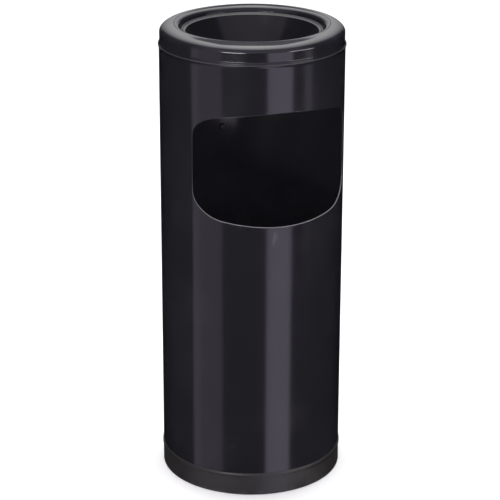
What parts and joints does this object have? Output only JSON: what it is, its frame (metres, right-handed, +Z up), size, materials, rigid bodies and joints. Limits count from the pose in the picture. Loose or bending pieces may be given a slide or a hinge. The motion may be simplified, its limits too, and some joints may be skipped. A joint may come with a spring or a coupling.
{
  "type": "litter bin",
  "caption": "Round sheet-steel litter bin with a rounded side opening, a lift-off head holding an ash bowl, and an inner liner with a wire bail on a plastic base ring.",
  "frame": {"origin": "centre of the underside of the base ring, on the floor", "axes": "+Z up along the bin's axis; the throw-in opening faces -Y; +X to the right as seen from behind the bin, from +Y"},
  "size_m": [0.2523, 0.2524, 0.638],
  "materials": {
    "gloss_paint": "gloss black powder coat",
    "base_paint": "satin black powder coat",
    "base_plastic": "fine-grained matt moulding",
    "plated_steel": "bright zinc plating",
    "galvanised_sheet": "galvanised, spangled",
    "galvanised_wire": "galvanised wire, dull"
  },
  "bodies": {
    "body": {"body_shell": "gloss_paint", "base_plate": "base_paint", "base_ring": "base_plastic", "wall_fixing_nut": "gloss_paint"},
    "head": {"head_ring": "gloss_paint"},
    "bowl": {"ash_bowl": "gloss_paint"},
    "liner": {"liner_wall": "galvanised_sheet", "liner_floor": "galvanised_sheet", "liner_rim_wire": "galvanised_wire", "left_bail_ear": "galvanised_sheet", "right_bail_ear": "galvanised_sheet", "ear_rivets": "plated_steel"},
    "bail": {"bail": "galvanised_wire"}
  },
  "joints": [
    {"name": "head_lift", "type": "slide", "parent": "body", "child": "head", "axis": [0, 0, 1], "range_m": [0, 0.12]},
    {"name": "bowl_lift", "type": "slide", "parent": "head", "child": "bowl", "axis": [0, 0, 1], "range_m": [0, 0.1]},
    {"name": "liner_lift", "type": "slide", "parent": "body", "child": "liner", "axis": [0, 0, 1], "range_m": [0, 0.16]},
    {"name": "bail_swing", "type": "hinge", "parent": "liner", "child": "bail", "pos_m": [0, 0, 0.2929], "axis": [1, 0, 0], "range_deg": [0, 180]}
  ]
}
